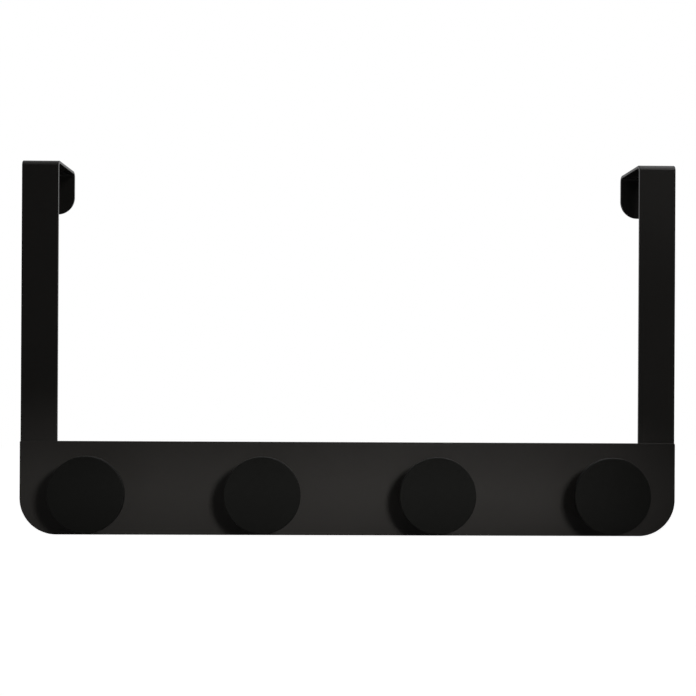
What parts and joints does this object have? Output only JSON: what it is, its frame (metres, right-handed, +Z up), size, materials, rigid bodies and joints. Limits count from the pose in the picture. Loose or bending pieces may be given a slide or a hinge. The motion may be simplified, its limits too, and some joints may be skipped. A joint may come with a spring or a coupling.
{
  "type": "over-door hook rack",
  "caption": "Over-door rack: a flat black sheet-steel panel with a row of round disc knobs, hung by two straps that fold over the top of a door.",
  "frame": {"origin": "middle of the door's top front edge: Y = 0 is the door's front face and Z = 0 its top", "axes": "+X to the right as seen from the front, -Y out of the front face of the rack, +Z up"},
  "size_m": [0.45, 0.0815, 0.2566],
  "materials": {
    "sheet_coat": "satin black powder coat",
    "knob_black": "matte black",
    "zinc_steel": "bright zinc plate",
    "bumper_rubber": "matte"
  },
  "bodies": {
    "root": {"panel": "sheet_coat", "strap_left": "sheet_coat", "strap_right": "sheet_coat", "knob_1": "knob_black", "knob_2": "knob_black", "knob_3": "knob_black", "knob_4": "knob_black", "screw_1": "zinc_steel", "screw_2": "zinc_steel", "screw_3": "zinc_steel", "screw_4": "zinc_steel", "bumper_left": "bumper_rubber", "bumper_middle": "bumper_rubber", "bumper_right": "bumper_rubber"}
  },
  "joints": []
}
